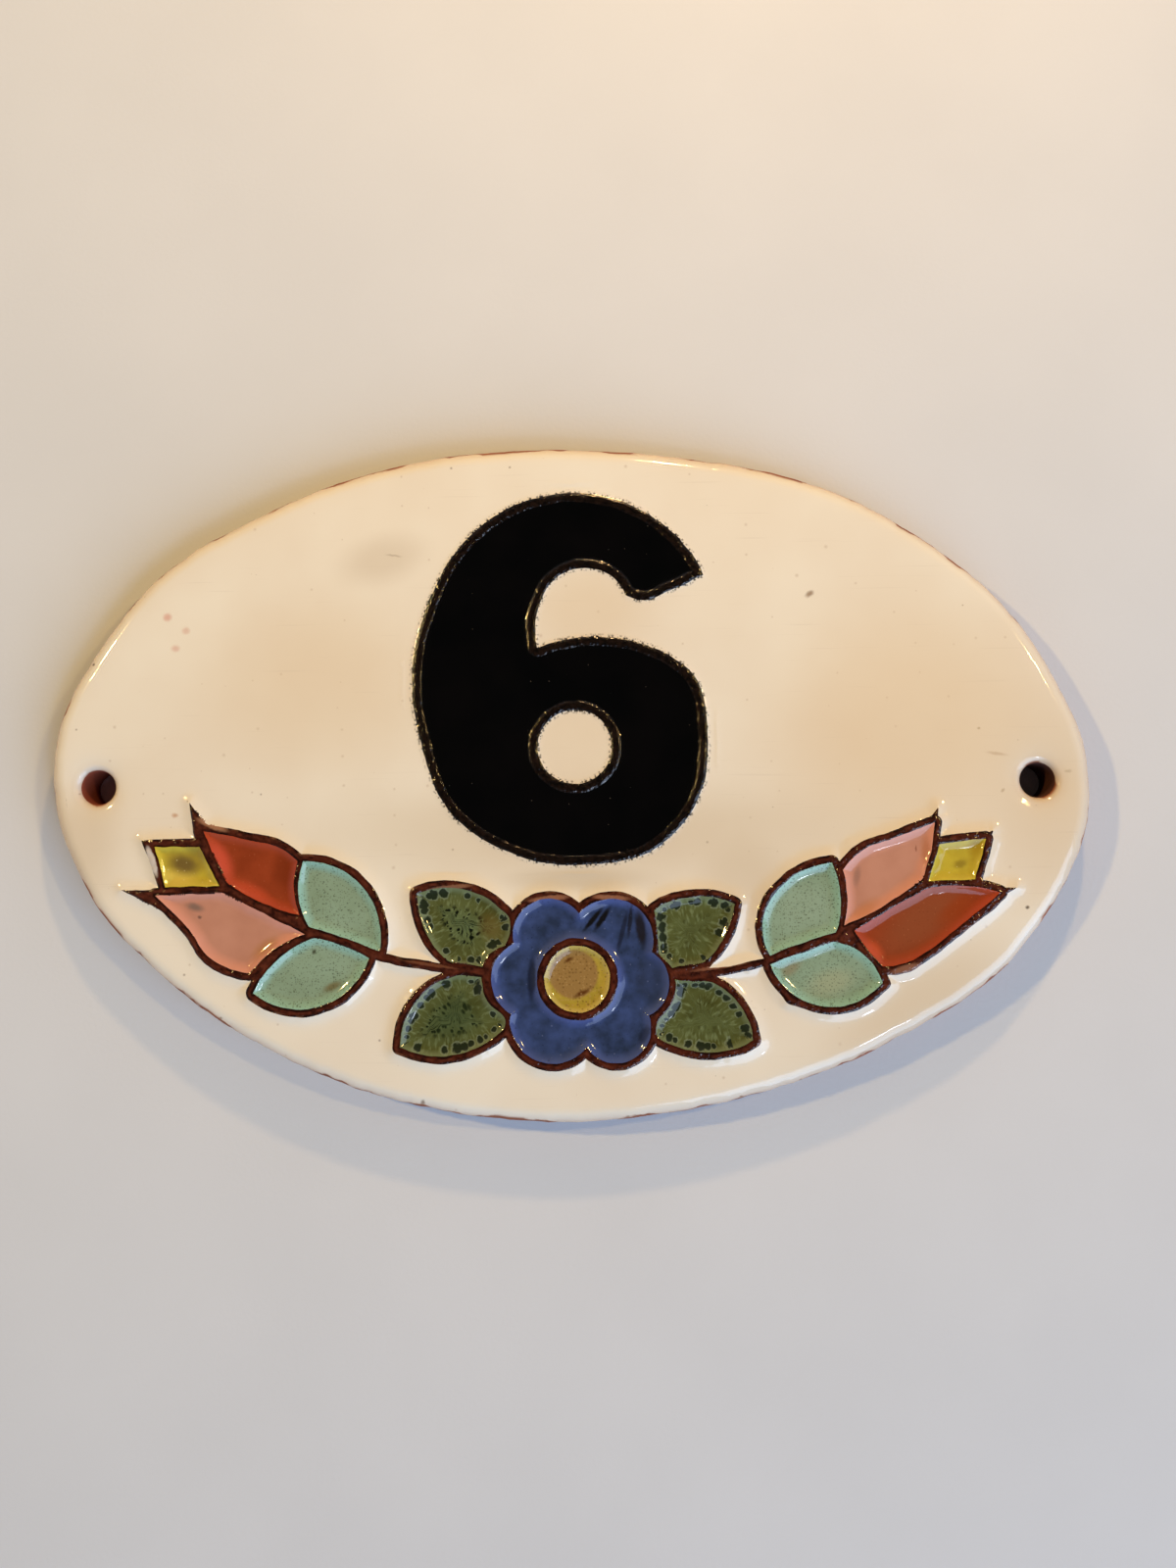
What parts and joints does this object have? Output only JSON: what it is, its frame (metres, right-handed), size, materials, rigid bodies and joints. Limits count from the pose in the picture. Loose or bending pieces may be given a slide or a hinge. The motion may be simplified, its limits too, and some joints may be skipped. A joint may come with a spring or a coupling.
{
  "type": "house number plaque",
  "caption": "Oval glazed clay house number plaque, with a figure over a spray of flowers in raised lines, and a screw hole at each end.",
  "frame": {"origin": "middle of the back, which lies on the surface below it", "axes": "+Z out of the decorated face, +Y to the top of the figure, +X to the right seen from the front"},
  "size_m": [0.18, 0.1171, 0.0093],
  "materials": {
    "glazed_earthenware": "glossy cream-white glaze on red clay, with pools of coloured glaze between brown lines"
  },
  "bodies": {
    "root": {"plaque": "glazed_earthenware"}
  },
  "joints": []
}
